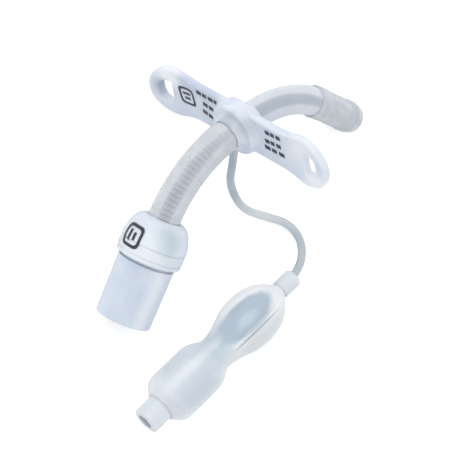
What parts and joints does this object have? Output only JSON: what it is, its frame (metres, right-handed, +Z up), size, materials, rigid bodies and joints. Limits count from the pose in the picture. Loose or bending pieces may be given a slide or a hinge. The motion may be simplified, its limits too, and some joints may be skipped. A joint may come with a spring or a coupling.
{
  "type": "tracheostomy tube",
  "caption": "Cuffed silicone tracheostomy tube with a wire-wound extension, neck flange, 15 mm connector and an inflation line to a pilot balloon with a check valve.",
  "frame": {"origin": "middle of the tube, flange and connector's footprint, on the table", "axes": "+Z up from the table, +Y from the connector towards the tube's tip, +X seen from above along the flange towards the patient's left wing"},
  "size_m": [0.0735, 0.105, 0.0489],
  "materials": {
    "tube_silicone": "soft, slightly cloudy",
    "coil_coat": "soft coat over wound steel wire",
    "cuff_silicone": "thin, clear",
    "flange_silicone": "soft, milky",
    "connector_plastic": "smooth, frosted clear",
    "boot_silicone": "soft, slightly blue",
    "line_silicone": "soft, clear",
    "balloon_film": "soft, thin, clear",
    "valve_plastic": "smooth, clear",
    "stem_plastic": "moulded",
    "valve_rubber": "matt",
    "spring_steel": "drawn wire"
  },
  "bodies": {
    "root": {"shaft_tube": "tube_silicone", "wire_winding": "coil_coat", "cuff": "cuff_silicone", "neck_flange": "flange_silicone", "connector_15mm": "connector_plastic", "connector_boot": "boot_silicone", "inflation_line": "line_silicone", "line_collar": "line_silicone", "pilot_balloon": "balloon_film", "valve_housing": "valve_plastic", "valve_spring": "spring_steel", "valve_retainer": "valve_plastic"},
    "valve_plunger": {"valve_stem": "stem_plastic", "valve_seal": "valve_rubber"}
  },
  "joints": [
    {"name": "valve_push", "type": "slide", "parent": "root", "child": "valve_plunger", "axis": [0, 1, 0], "range_m": [0, 0.0012], "stiffness_N_per_m": 150, "springref_m": -0.0008, "deforming": ["valve_spring"]}
  ]
}
